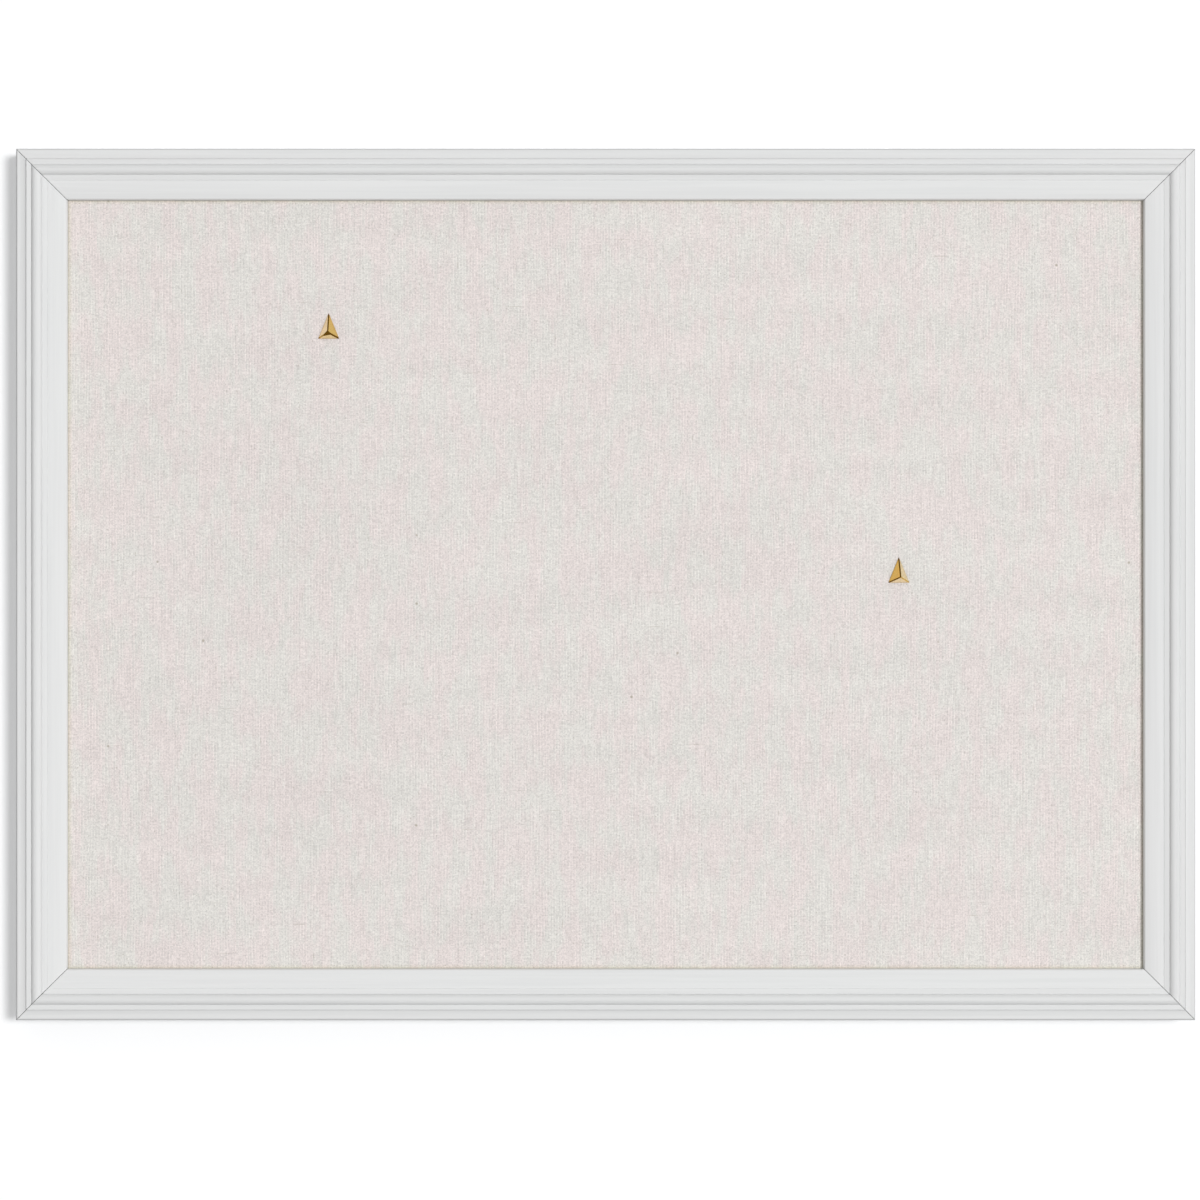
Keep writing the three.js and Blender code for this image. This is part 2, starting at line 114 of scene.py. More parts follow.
def new_cylinder(name, sides, radius, centre, front, back):
    """A cylinder along Y, between two depths."""
    middle = (centre.x, (front + back) / 2, centre.z)
    return settle(new_primitive(name, bpy.ops.mesh.primitive_cylinder_add, vertices=sides,
                                radius=radius, depth=back - front,
                                location=middle, rotation=TO_VIEWER))


def own_copy(piece, name):
    """A copy of a piece with a mesh of its own."""
    twin = bpy.data.objects.new(name, piece.data.copy())
    twin.data.name = name
    bpy.context.scene.collection.objects.link(twin)
    return twin


# %% Helpers for edit mode
def pick(piece, kind, test=lambda element: True):
    """In edit mode, selects only the 'verts', 'edges' or 'faces' that pass the test."""
    make_active(piece)
    bpy.ops.object.mode_set(mode="EDIT")
    bpy.ops.mesh.select_mode(type={"verts": "VERT", "edges": "EDGE", "faces": "FACE"}[kind])
    bpy.ops.mesh.select_all(action="DESELECT")
    shape = bmesh.from_edit_mesh(piece.data)
    for element in getattr(shape, kind):
        element.select_set(test(element))
    shape.select_flush_mode()
    bmesh.update_edit_mesh(piece.data)


def close_mesh(piece, merge=1e-6):
    """Merges doubled points and turns every face outwards."""
    pick(piece, "verts")
    bpy.ops.mesh.remove_doubles(threshold=merge)
    bpy.ops.mesh.normals_make_consistent(inside=False)
    leave_edit()
    return piece


def extrude(step):
    """In edit mode, pulls what is selected out by this step."""
    bpy.ops.mesh.extrude_region_move(TRANSFORM_OT_translate={"value": step})


def modify(piece, kind, **settings):
    """Adds one modifier, and applies it."""
    make_active(piece)
    modifier = piece.modifiers.new(kind.lower(), kind)
    for key, value in settings.items():
        setattr(modifier, key, value)
    bpy.ops.object.modifier_apply(modifier=modifier.name)
    return piece


def round_edges(piece, width, angle=32):
    """Rounds the sharp edges a little, as no real edge is perfectly sharp."""
    return modify(piece, "BEVEL", width=width, segments=2, limit_method="ANGLE",
                  angle_limit=radians(angle), miter_outer="MITER_ARC", use_clamp_overlap=True)


def shade_flats(piece):
    """Smooth shading that keeps the large faces flat and bends over the small ones."""
    make_active(piece)
    bpy.ops.object.shade_smooth()
    return modify(piece, "WEIGHTED_NORMAL", keep_sharp=False, weight=60)


def soften(piece, width, angle=32):
    """Rounds a piece's sharp edges, and shades it so that they show."""
    return shade_flats(round_edges(piece, width, angle))


def smooth_below(piece, angle):
    """Smooth shading over edges that turn by less than this angle. The others stay sharp."""
    make_active(piece)
    bpy.ops.object.shade_smooth_by_angle(angle=radians(angle))


def place_on(piece, body, slot, node, *materials):
    """Gives a piece its materials, says which body it rides on, and hides the node of the CAD model
    that it stands for. The slot argument, the name of its finish, is not used."""
    for material in materials:
        piece.data.materials.append(material)
    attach(piece, body)
    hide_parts(node)
    print(f"{piece.name}: {len(piece.data.polygons)} faces")


# %% [markdown]
# ## The camera
# The photograph looks straight at the board. Both outer sides of the frame are hidden and the
# inner edges of the opening show a little, so the camera stands in front, about 1.6 m away.
# Its axis passes just left of and below the middle of the board, which is where the middle of
# the picture is.

# %% Camera
CAMERA_DISTANCE = 1.6
PICTURE_WIDTH = 0.5948  # how much of the plane of the frame's front the picture shows
PICTURE_PLANE = -0.0187  # where that plane lies
PICTURE_MIDDLE = (-0.0028, -0.0077)
SENSOR = 36

bpy.ops.object.camera_add(
    location=(PICTURE_MIDDLE[0], PICTURE_PLANE - CAMERA_DISTANCE, PICTURE_MIDDLE[1]),
    rotation=TO_VIEWER)
camera = bpy.context.object
camera.name = "photo_camera"
camera.data.sensor_fit = "HORIZONTAL"
camera.data.sensor_width = SENSOR
camera.data.lens = SENSOR * CAMERA_DISTANCE / PICTURE_WIDTH
bpy.context.scene.camera = camera
bpy.context.scene.view_settings.view_transform = "Standard"
print("lens:", round(camera.data.lens, 1), "mm")

# %% [markdown]
# ## The light
# One large soft lamp stands far off, to the right of the camera and a little above it. It
# draws the short shadow at the left of the frame and the soft relief of the moulding. A weak
# even sky fills the rest. Two more lamps behind the board light its back for other views, and
# can't reach anything that the photograph shows.

# %% Lamps
KEY_LEVEL = 0.62
KEY_SIDE = 23
KEY_HEIGHT = 5
KEY_DISTANCE = 10
KEY_SPREAD = 13.5
BACK_LEVEL = 0.5


def lamp(name, side, height, level, distance, spread):
    """A round soft lamp aimed at the board. At level 1 a white surface that faces it shows as
    white. side, height and spread are in degrees: the turn from the photograph's view, the rise
    above the horizon, and how wide the lamp looks from the board."""
    turn, rise = radians(side), radians(height)
    level_reach = cos(rise)
    towards = Vector((sin(turn) * level_reach, -cos(turn) * level_reach, sin(rise)))
    bpy.ops.object.light_add(type="AREA", location=towards * distance)
    made = bpy.context.object
    made.name = name
    made.rotation_euler = towards.to_track_quat("Z", "Y").to_euler()
    made.data.shape = "DISK"
    made.data.size = 2 * distance * tan(radians(spread / 2))
    made.data.energy = level * pi * pi * distance ** 2
    made.visible_glossy = False
    print(f"{name}: {round(made.data.size, 2)} m wide, {round(made.data.energy)} W")


lamp("key_lamp", KEY_SIDE, KEY_HEIGHT, KEY_LEVEL, KEY_DISTANCE, KEY_SPREAD)
lamp("back_lamp_left", 162, 24, BACK_LEVEL, 6, 24)
lamp("back_lamp_right", 196, 16, BACK_LEVEL, 6, 30)

# %% [markdown]
# ## Nodes
# A material is a small tree of nodes. These helpers add a node with its settings and join two
# sockets, so that each material below reads as a list of what it mixes.

# %% Node helpers
WHITE = (1, 1, 1, 1)


def feed(tree, node, sockets):
    """Gives a node its inputs, by name or number. Each is a value, or a socket to link."""
    for key, value in dict(sockets).items():
        if isinstance(value, bpy.types.NodeSocket):
            tree.links.new(value, node.inputs[key])
        else:
            node.inputs[key].default_value = value


def add(tree, kind, sockets=(), **settings):
    """Adds a node with its settings and its inputs, and gives back its outputs."""
    node = tree.nodes.new("ShaderNode" + kind)
    for key, value in settings.items():
        setattr(node, key, value)
    feed(tree, node, sockets)
    return node.outputs


def maths(tree, operation, first, second=None, third=None, clamp=False):
    """What a Math node gives. Each input is a number or a socket."""
    values = enumerate((first, second, third))
    inputs = {entry: value for entry, value in values if value is not None}
    return add(tree, "Math", inputs, operation=operation, use_clamp=clamp)[0]


def ramp(tree, value, low, high, to_low=0.0, to_high=1.0, smooth=True):
    """Maps a value from one range to another, and holds it at the ends."""
    return add(tree, "MapRange", {0: value, 1: low, 2: high, 3: to_low, 4: to_high}, clamp=True,
               interpolation_type="SMOOTHSTEP" if smooth else "LINEAR")[0]


def blend(tree, share, first, second, mode="MIX"):
    """Mixes two colours. Each is a tuple or a socket, and share is a number or a socket."""
    first, second = ((*colour, 1.0) if isinstance(colour, tuple) else colour
                     for colour in (first, second))
    return add(tree, "Mix", {0: share, 6: first, 7: second},
               data_type="RGBA", blend_type=mode)[2]


def noise(tree, vector, scale, stretch=(1, 1, 1), detail=2.0, roughness=0.5, distortion=0.0):
    """A noise between 0 and 1. stretch squeezes the pattern along each axis."""
    squeezed = add(tree, "VectorMath", {0: vector, 1: stretch}, operation="MULTIPLY")[0]
    return add(tree, "TexNoise", {"Vector": squeezed, "Scale": scale, "Detail": detail,
                                  "Roughness": roughness, "Distortion": distortion})[0]


def shader_of(tree):
    return tree.nodes["Principled BSDF"]


def new_material(name, **constants):
    """A material and its tree. constants are set on the Principled shader's own sockets."""
    material = bpy.data.materials.new(name)
    material.use_nodes = True
    for key, value in constants.items():
        shader_of(material.node_tree).inputs[key.replace("_", " ")].default_value = value
    print("material:", name)
    return material, material.node_tree


def finish(tree, colour, roughness, height, depth, strength):
    """Gives the shader its colour, roughness and relief. Height 1 stands for this depth."""
    relief = add(tree, "Bump", {"Height": height, "Strength": strength, "Distance": depth})[0]
    feed(tree, shader_of(tree), {"Base Color": colour, "Roughness": roughness, "Normal": relief})


def grey_bounce(tree, colour, grey):
    """Light that this surface bounces on is grey, so that it doesn't tint the white wall."""
    return blend(tree, add(tree, "LightPath")["Is Diffuse Ray"], colour, (grey,) * 3)


def object_place(tree, turn=(0, 0, 0), shift=(0, 0, 0)):
    """Object coordinates, turned and shifted by a Mapping node."""
    place = add(tree, "TexCoord")["Object"]
    return add(tree, "Mapping", {"Vector": place, "Location": shift, "Rotation": turn})[0]


def edge_distance(tree, half):
    """How far a point lies inside the nearest side of a rectangle round the origin."""
    split = add(tree, "SeparateXYZ", {0: add(tree, "TexCoord")["Object"]})
    across, up = (maths(tree, "SUBTRACT", reach, maths(tree, "ABSOLUTE", split[axis]))
                  for reach, axis in zip(half, (0, 2)))
    return maths(tree, "MINIMUM", across, up)


def switch(tree, share, first, second):
    """One of two shaders, or a mix of them."""
    return add(tree, "MixShader", {0: share, 1: first, 2: second})[0]


# %% [markdown]
# ## The sky and the wall
# The camera sees a plain white sky, and the object is lit by a weaker one. Polished metal
# shows a room instead. The room is dark behind the photographer, so the reflected sky is dim on
# the whole side that the board faces, apart from a bright window at each side.
#
# The board hangs on a white wall, which keeps its shadow. The wall shows to the camera alone,
# and from behind it can be seen through, so that the back of the board can be looked at.

# %% World
SKY_LEVEL = 0.43
SKY_RISE = 0.06  # how much brighter the sky is overhead
SKY_BEHIND = 0.4  # its share on the side where the wall would hide it
SKY_TURN = (-0.3, 0.3)  # where it changes from that share to its whole strength
BRIGHT_BACK, DIM_FRONT = 0.6, 0.13  # the reflected sky behind the board and in front of it
DIM_EDGE = (-0.16, -0.05)  # where it turns from one to the other
WINDOW_AT = (0.86, -0.46, 0.22)  # the right window's direction
WINDOW_EDGE = (0.80, 0.93)
WINDOW_LEVEL = 0.7

world = bpy.data.worlds.new("studio")
bpy.context.scene.world = world
world.use_nodes = True
sky = world.node_tree
sky.nodes.clear()
heading = add(sky, "TexCoord")["Generated"]


def nearness(direction):
    """1 for a ray that heads in this direction, 0 across it and -1 for one that heads away."""
    return add(sky, "VectorMath", {0: heading, 1: direction}, operation="DOT_PRODUCT")["Value"]


def background(strength):
    return add(sky, "Background", {"Color": WHITE, "Strength": strength})[0]


facing = nearness((0, -1, 0))
reflected = ramp(sky, facing, *DIM_EDGE, BRIGHT_BACK, DIM_FRONT)
for side in (-1, 1):
    near = nearness((side * WINDOW_AT[0], *WINDOW_AT[1:]))
    reflected = maths(sky, "MAXIMUM", reflected, ramp(sky, near, *WINDOW_EDGE, 0.0, WINDOW_LEVEL))
height = add(sky, "SeparateXYZ", {0: heading})[2]
level = maths(sky, "MULTIPLY_ADD", height, SKY_LEVEL * SKY_RISE, SKY_LEVEL)
level = maths(sky, "MULTIPLY", level, ramp(sky, facing, *SKY_TURN, SKY_BEHIND, 1.0))
rays = add(sky, "LightPath")
mirror_ray = maths(sky, "MAXIMUM", rays["Is Glossy Ray"], rays["Is Transmission Ray"])
unseen = switch(sky, mirror_ray, background(level), background(reflected))
seen = switch(sky, rays["Is Camera Ray"], unseen, background(1.0))
add(sky, "OutputWorld", {"Surface": seen})
print("world:", len(sky.nodes), "nodes")

# %% Wall
WALL_SIZE = 12
WALL_COLOUR = (0.845, 0.852, 0.86)
WALL_GLOW = 0.21  # light from the rest of the room

wall = settle(new_primitive("wall_backdrop", bpy.ops.mesh.primitive_plane_add,
                            size=WALL_SIZE, rotation=TO_VIEWER))
wall_paint = bpy.data.materials.new("wall_white")
wall_paint.use_nodes = True
tree = wall_paint.node_tree
tree.nodes.clear()
seen = maths(tree, "MULTIPLY", add(tree, "LightPath")["Is Camera Ray"], WALL_GLOW)
matt = add(tree, "BsdfDiffuse", {"Color": (*WALL_COLOUR, 1)})[0]
glow = add(tree, "Emission", {"Color": WHITE, "Strength": seen})[0]
front = add(tree, "AddShader", {0: matt, 1: glow})[0]
behind = add(tree, "NewGeometry")["Backfacing"]
clear = add(tree, "BsdfTransparent")[0]
add(tree, "OutputMaterial", {"Surface": switch(tree, behind, front, clear)})
wall.data.materials.append(wall_paint)
wall.visible_diffuse = wall.visible_glossy = wall.visible_shadow = wall.visible_transmission = False
wall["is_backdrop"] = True
print("wall faces the camera:", wall.data.polygons[0].normal.y < 0)

# %% [markdown]
# ## Shared effects
# Wood, paint over wood and drawn steel all carry fine lines along their length. Boards pressed
# from chips, rubber and cast metal are mottled instead. Each of these two effects is a node
# group with named sockets, built once and used with other values in each material.

# %% Group: lines along the length
def new_group(name, inputs, outputs):
    """A shader node group with float sockets, apart from Vector."""
    group = bpy.data.node_groups.new(name, "ShaderNodeTree")
    for label, value in inputs.items():
        kind = "NodeSocketVector" if label == "Vector" else "NodeSocketFloat"
        socket = group.interface.new_socket(label, in_out="INPUT", socket_type=kind)
        if value is not None:
            socket.default_value = value
    for label in outputs:
        group.interface.new_socket(label, in_out="OUTPUT", socket_type="NodeSocketFloat")
    return group, group.nodes.new("NodeGroupInput").outputs, group.nodes.new("NodeGroupOutput")


def use_group(tree, group, vector, **values):
    """Places a group, and gives back its outputs."""
    return add(tree, "Group", {"Vector": vector, **values}, node_tree=group)


tree, inside, outside = new_group(
    "lengthwise_lines", {"Vector": None, "Fineness": 1.0, "Waver": 0.0},
    ("Broad", "Fine", "Height"))
place = add(tree, "VectorMath", {0: inside["Vector"], "Scale": inside["Fineness"]},
            operation="SCALE")[0]
broad = noise(tree, place, 260, (0.035, 1, 1), detail=3)
fine = noise(tree, place, 1500, (0.02, 1, 1), detail=3, roughness=0.6)
waver = noise(tree, place, 30, (0.3, 1, 1), detail=1)
height = maths(tree, "ADD", maths(tree, "MULTIPLY", broad, 0.4), maths(tree, "MULTIPLY", fine, 0.6))
height = maths(tree, "ADD", height, maths(tree, "MULTIPLY", waver, inside["Waver"]))
feed(tree, outside, {"Broad": broad, "Fine": fine, "Height": height})
lines_group = tree
print("group:", lines_group.name)

# %% Group: mottle
tree, inside, outside = new_group(
    "mottle", {"Vector": None, "Size": 0.003, "Chips": 0.5}, ("Patches", "Chips", "Height"))
size = add(tree, "CombineXYZ", {axis: inside["Size"] for axis in range(3)})[0]
place = add(tree, "VectorMath", {0: inside["Vector"], 1: size}, operation="DIVIDE")[0]
patches = noise(tree, place, 1.0, detail=4, roughness=0.6)
cells = add(tree, "TexVoronoi", {"Vector": place, "Scale": 2.2, "Randomness": 1.0})
chips = add(tree, "SeparateColor", {0: cells["Color"]})[0]
rounded = ramp(tree, cells["Distance"], 0.1, 0.75, 1.0, 0.0)
height = maths(tree, "ADD", maths(tree, "MULTIPLY", patches, 0.6),
               maths(tree, "MULTIPLY", rounded, inside["Chips"]))
feed(tree, outside, {"Patches": patches, "Chips": chips, "Height": height})
mottle_group = tree
print("group:", mottle_group.name)

# %% [markdown]
# ## The moulding
# A picture framer buys moulding as a long stick, already shaped and painted, and saws four
# rails from it. The same is done here. The outline is drawn point by point, by extruding one
# vertex along it: the outer arris, the cove, a narrow fillet, the round bead, a second fillet,
# the wide crowned band and the rounded sight edge. Behind them is the rabbet that the panel
# sits in. A curve with a bevel could do it too, but here the flat parts keep exact corners.

# %% Sizes of the moulding
BOARD_WIDTH = 584.2 * MM
BOARD_HEIGHT = 431.8 * MM
RAIL_WIDTH = 25.4 * MM
BACK_GAP = 2.95 * MM  # from the wall to the back of the frame
EDGE_ROUNDING = 0.1 * MM
SAW_WASTE = 1 * MM  # how much longer the stick is than a rail, at each end

# The outline is in millimetres, across from the frame's outer edge and up from its back.
ARRIS = (1.3, 2.4)  # rounding of the outer corner, across and down
COVE = (2.32, 18.35, 6.65, -8, 30)  # lowest point across and height, radius, start and end angle
CREASE = (0.4, 0.42)  # the sharp groove under the outer fillet, width and depth
OUTER_FILLET = (5.65, 19.98)  # it slopes a little, down to the bead
QUIRKS = ((0.34, 0.16), (0.3, 0.22))  # the groove at each foot of the bead, width and depth
BEAD = (8.1, 19.7, 2.55, 2.05)  # start across, foot height, half width, rise
BEAD_FLANK = 13  # how many degrees of the half circle are missing at each foot
BEAD_LINE = (10, 0.13, 0.16)  # the faint line along the bead: at which point, half width, depth
INNER_FILLET = (15.85, 19.22)
INNER_CREASE = (15.95, 18.9)
BAND = (16.1, 19.0, 24.7, 17.55)  # start across and height, end across and height
BAND_STEPS = 12
SIGHT = (24.7, 15.75, 0.7, 1.8)  # centre of the rounding, and its size across and down
RABBET = (19.05, 13.8)  # wall across, ledge height


def arc(middle, radii, start, end, steps):
    """Points on part of an ellipse, angles in degrees, both ends included."""
    turns = [radians(start + (end - start) * i / steps) for i in range(steps + 1)]
    return [(middle[0] + radii[0] * cos(t), middle[1] + radii[1] * sin(t)) for t in turns]


def moulding_outline():
    """The outline of the stick's end, point by point."""
    points = [(0, 0)]
    across, low, radius, start, end = COVE
    cove = arc((across, low + radius), (radius, radius), 270 + start, 270 + end, steps=11)
    points += arc((ARRIS[0], cove[0][1] - ARRIS[1]), ARRIS, 180, 90, steps=9) + cove[1:-1]
    points += [(OUTER_FILLET[0] - CREASE[0], cove[-1][1]),
               (OUTER_FILLET[0] - CREASE[0] / 3, cove[-1][1] - CREASE[1]), OUTER_FILLET]
    (before, before_depth), (after, after_depth) = QUIRKS
    points += [(BEAD[0] - before, BEAD[1]), (BEAD[0] - before / 2, BEAD[1] - before_depth)]
    flank = radians(BEAD_FLANK)
    half, rise = BEAD[2] / cos(flank), BEAD[3] / (1 - sin(flank))
    bead = arc((BEAD[0] + BEAD[2], BEAD[1] - rise * sin(flank)), (half, rise),
               180 - BEAD_FLANK, BEAD_FLANK, steps=24)
    line, line_half, line_depth = BEAD_LINE
    across, top = bead[line]
    bead[line:line + 1] = [(across - line_half, top), (across, top - line_depth),
                           (across + line_half, top)]
    bead_end = BEAD[0] + 2 * BEAD[2]
    points += bead + [(bead_end + after / 2, BEAD[1] - after_depth), (bead_end + after, BEAD[1]),
                      INNER_FILLET, INNER_CREASE]
    start, top, end, low = BAND
    for i in range(BAND_STEPS + 1):
        share = i / BAND_STEPS
        points.append((start + (end - start) * share, top + (low - top) * share ** 2))
    points += arc(SIGHT[:2], SIGHT[2:], 90, 0, steps=10)[1:]
    points += [(RAIL_WIDTH / MM, RABBET[1]), RABBET, (RABBET[0], 0)]
    return points


# %% Draw the outline and pull the stick
def moulding_stick():
    """The stick lies along X with its outer edge on Z = 0, its back towards the wall."""
    outline = [Vector((0, -h * MM - BACK_GAP, -u * MM)) for u, h in moulding_outline()]
    stick = settle(new_primitive("moulding_stick", bpy.ops.mesh.primitive_plane_add,
                                 size=MM, location=outline[0]))
    pick(stick, "verts")
    bpy.ops.mesh.merge(type="CENTER")
    for here, there in zip(outline, outline[1:]):
        extrude(there - here)
    bpy.ops.mesh.select_all(action="SELECT")
    bpy.ops.mesh.edge_face_add()
    extrude((BOARD_WIDTH + 2 * SAW_WASTE, 0, 0))
    bpy.ops.mesh.select_all(action="SELECT")
    bpy.ops.transform.translate(value=(-BOARD_WIDTH / 2 - SAW_WASTE, 0, 0))
    return round_edges(close_mesh(stick, 1e-7), EDGE_ROUNDING)


stick = moulding_stick()
print("outline points:", len(moulding_outline()), "size:", [round(d, 4) for d in stick.dimensions])

# %% [markdown]
# ## Paint over wood
# The frame's paint is a satin white. Up close it shows the faint lines of the wood below and
# of the brush, all along the rail, and it is never quite even. The back of a real frame isn't
# painted, so it is bare pale wood there, with its own grain.

# %% Paint and bare wood
PAINT_COOL = (0.797, 0.809, 0.806)
PAINT_NEUTRAL = (0.824, 0.824, 0.823)
PAINT_LINES = (0.965, 0.965, 0.966)  # the darkest of the wood's lines in the paint
OUTER_PAINTED_SHADE = (0.968, 0.968, 0.968)  # painted shade: the outer mouldings are a little darker than the band
OUTER_SHADE_FADE = (13 * MM, 17 * MM)
ARRIS_PAINTED_SHADE = (0.945, 0.945, 0.945)  # painted shade along the outer arris
ARRIS_SHADE_FADE = (0.3 * MM, 1.1 * MM)
WOOD_LIGHT = (0.60, 0.44, 0.27)
WOOD_DARK = (0.40, 0.255, 0.135)
WOOD_PORES = (0.24, 0.153, 0.081)
WOOD_BOUNCE = 0.42


def paint_material(name, turn, shift):
    paint, tree = new_material(name, Specular_IOR_Level=0.36, Coat_Weight=0.04, Coat_Roughness=0.25)
    place = object_place(tree, turn, shift)
    lines = use_group(tree, lines_group, place, Fineness=1.0, Waver=0.25)
    cloud = noise(tree, place, 9, (0.25, 1, 1))
    tone = maths(tree, "ADD", ramp(tree, lines["Broad"], 0.25, 0.75, -0.5, 0.5, smooth=False),
                 ramp(tree, cloud, 0.3, 0.7, -0.5, 0.5, smooth=False))
    colour = blend(tree, maths(tree, "MULTIPLY_ADD", tone, 0.5, 0.5, clamp=True),
                   PAINT_COOL, PAINT_NEUTRAL)
    streaks = noise(tree, place, 520, (0.02, 1, 1), roughness=0.6)
    depth = edge_distance(tree, (BOARD_WIDTH / 2, BOARD_HEIGHT / 2))
    for share, shade in ((ramp(tree, streaks, 0.35, 0.7), PAINT_LINES),
                         # painted shade over the outer mouldings
                         (ramp(tree, depth, *OUTER_SHADE_FADE, 1.0, 0.0), OUTER_PAINTED_SHADE),
                         # painted shade along the outer arris
                         (ramp(tree, depth, *ARRIS_SHADE_FADE, 1.0, 0.0), ARRIS_PAINTED_SHADE)):
        colour = blend(tree, share, colour, shade, "MULTIPLY")
    finish(tree, colour, ramp(tree, lines["Fine"], 0.2, 0.8, 0.36, 0.46),
           lines["Height"], 0.05 * MM, 0.6)
    return paint


def wood_material(name, turn, shift):
    wood, tree = new_material(name, Specular_IOR_Level=0.25)
    place = object_place(tree, turn, shift)
    lines = use_group(tree, lines_group, place, Fineness=0.8, Waver=0.3)
    rings = noise(tree, place, 95, (0.03, 1, 1), distortion=0.6)
    bands = maths(tree, "SINE", maths(tree, "MULTIPLY", rings, 60))
    colour = blend(tree, ramp(tree, bands, -1, 1, 0.15, 0.75), WOOD_LIGHT, WOOD_DARK)
    colour = blend(tree, ramp(tree, lines["Fine"], 0.62, 0.8, 0, 0.45), colour, WOOD_PORES)
    finish(tree, grey_bounce(tree, colour, WOOD_BOUNCE),
           ramp(tree, lines["Broad"], 0.2, 0.8, 0.6, 0.8), lines["Height"], 0.15 * MM, 0.7)
    return wood


# %% [markdown]
# ## Four rails
# Each rail is a copy of the stick, sawn at 45 degrees at both ends and turned to its side of
# the board. The bisect operator is the saw. The front of each cut edge is then eased very
# slightly, which makes the thin soft line at each mitre. Booleans cut the slots that the V-nails
# sit in. The faces at the back, in the rabbet and in the slots are bare wood, as on a real frame.

# %% Saw the rails
RAIL_SIDES = {"top": 0, "right": 90, "bottom": 180, "left": 270}
MITRE_GAP = 0.15 * MM
MITRE_EASE = 0.17 * MM
LEDGE = -BACK_GAP - (RABBET[1] + 0.2) * MM  # a depth just in front of the rabbet's ledge
SLOT_PLAY = 0.1 * MM  # room round a V-nail
SLOT_OPENING = 0.8 * MM  # how far a slot's cutter reaches out of the back
SLOT_FACE = 60 * MM * MM  # a slot's walls are smaller than this, the mitre face is larger
SKIN = 2 * MM  # nothing nearer to the frame's outside than this is a slot
FACES = 0.7  # how far a face has to turn to a side to count as facing it
GRAIN_SHIFT = (0.31, 0.17, 0)  # from one rail to the next, so that no two have the same grain


def saw(piece, point, normal):
    """Cuts a piece with a plane, drops what lies on the normal's side and closes the cut. The
    front of the cut edge is then eased: a thin strip beside it slopes down to the joint."""
    pick(piece, "verts")
    bpy.ops.mesh.bisect(plane_co=point, plane_no=normal, use_fill=True, clear_outer=True)
    bpy.ops.mesh.select_all(action="SELECT")
    bpy.ops.mesh.bisect(plane_co=point - normal * MITRE_EASE, plane_no=normal)
    pick(piece, "verts", lambda v: abs((v.co - point).dot(normal)) < TINY and v.co.y < LEDGE)
    bpy.ops.transform.translate(value=(0, MITRE_EASE, 0))
    leave_edit()


def cut_nail_slots(rail, side):
    """The V-nails lie just below the back, in slots that cross the mitres."""
    for node in sorted(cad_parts):
        if node.startswith("v_nail") and side in node.split("_"):
            cutter = close_mesh(own_copy(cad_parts[node], "slot_cutter"))
            modify(cutter, "DISPLACE", strength=SLOT_PLAY, mid_level=0)
            pick(cutter, "verts", lambda v: v.co.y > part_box(node)[1].y)
            bpy.ops.transform.translate(value=(0, SLOT_OPENING, 0))
            leave_edit()
            modify(rail, "BOOLEAN", operation="DIFFERENCE", object=cutter, solver="EXACT")
            bpy.data.objects.remove(cutter)


def make_rail(side, turn):
    """A rail is sawn as the top one, then turned to its own side of the board."""
    rail = own_copy(stick, f"rail_{side}")
    across, length = ((BOARD_WIDTH, BOARD_HEIGHT) if turn % 180 else (BOARD_HEIGHT, BOARD_WIDTH))
    for vertex in rail.data.vertices:
        vertex.co.z += across / 2
    for way in (-1, 1):
        corner = Vector((way * length / 2, 0, across / 2))
        normal = Vector((way, 0, -1)).normalized()
        saw(rail, corner - normal * MITRE_GAP / 2, normal)
    rail.rotation_euler = (0, radians(turn), 0)
    settle(rail)
    cut_nail_slots(rail, side)
    shade_flats(rail)
    grain = ((0, radians(90 if turn % 180 else 0), 0),
             tuple(step * turn / 90 for step in GRAIN_SHIFT))
    outer = Vector((sin(radians(turn)), 0, cos(radians(turn))))
    for face in rail.data.polygons:
        behind = face.normal.y > FACES
        in_rabbet = face.normal.dot(outer) < -FACES and face.center.y > LEDGE
        inside = min(BOARD_WIDTH / 2 - abs(face.center.x), BOARD_HEIGHT / 2 - abs(face.center.z))
        in_slot = face.area < SLOT_FACE and face.center.y > LEDGE and inside > SKIN
        face.material_index = int(behind or in_rabbet or in_slot)
    place_on(rail, "board", "painted_frame", f"frame_{side}_rail",
             paint_material(f"rail_{side}_paint", *grain),
             wood_material(f"rail_{side}_bare_wood", *grain))


for side, turn in RAIL_SIDES.items():
    make_rail(side, turn)
bpy.data.objects.remove(stick)

# %% [markdown]
# ## Linen: the weave
# The cover is a natural linen blend. Pale threads run up and down, and thinner ones cross them
# over one and under one. No two threads have quite the same colour: some are a little pink,
# some a little grey-green, and the tone changes along each thread, which gives the cloth its
# upright streaks. Here and there a thicker or darker bit of flax is spun in. A picture of cloth
# is the usual way. Here each thread is counted instead, so that the weave is sharp at any size.
# It follows the cloth's own UV map, so that it turns round the edges with the cloth.

# %% Linen cloth
WARP_PITCH = 0.715 * MM
WEFT_PITCH = 0.62 * MM
THREAD_WAVER = 4 * MM
CLOTH_PINK = (0.790, 0.721, 0.702)
CLOTH_GREEN = (0.763, 0.744, 0.709)
FLAX = (0.40, 0.36, 0.28)
# Darker flax shows in thin lines across, in lines along and in spots. Each has its noise's scale
# and stretch, the part of the noise that shows, and its strength.
FLAX_MARKS = ((1400, (0.04, 1, 1), 0.70, 0.82, 0.37), (1400, (1, 0.1, 1), 0.70, 0.82, 0.45),
              (1150, (1, 0.8, 1), 0.64, 0.78, 0.46))
# Painted shade beside the frame, where the cloth is a little darker: how far, and what colour.
PAINTED_EDGE_SHADES = ((2.6 * MM, (0.91, 0.90, 0.83)), (0.6 * MM, (0.80, 0.81, 0.72)))
SIGHT_HALF = (BOARD_WIDTH / 2 - RAIL_WIDTH, BOARD_HEIGHT / 2 - RAIL_WIDTH)


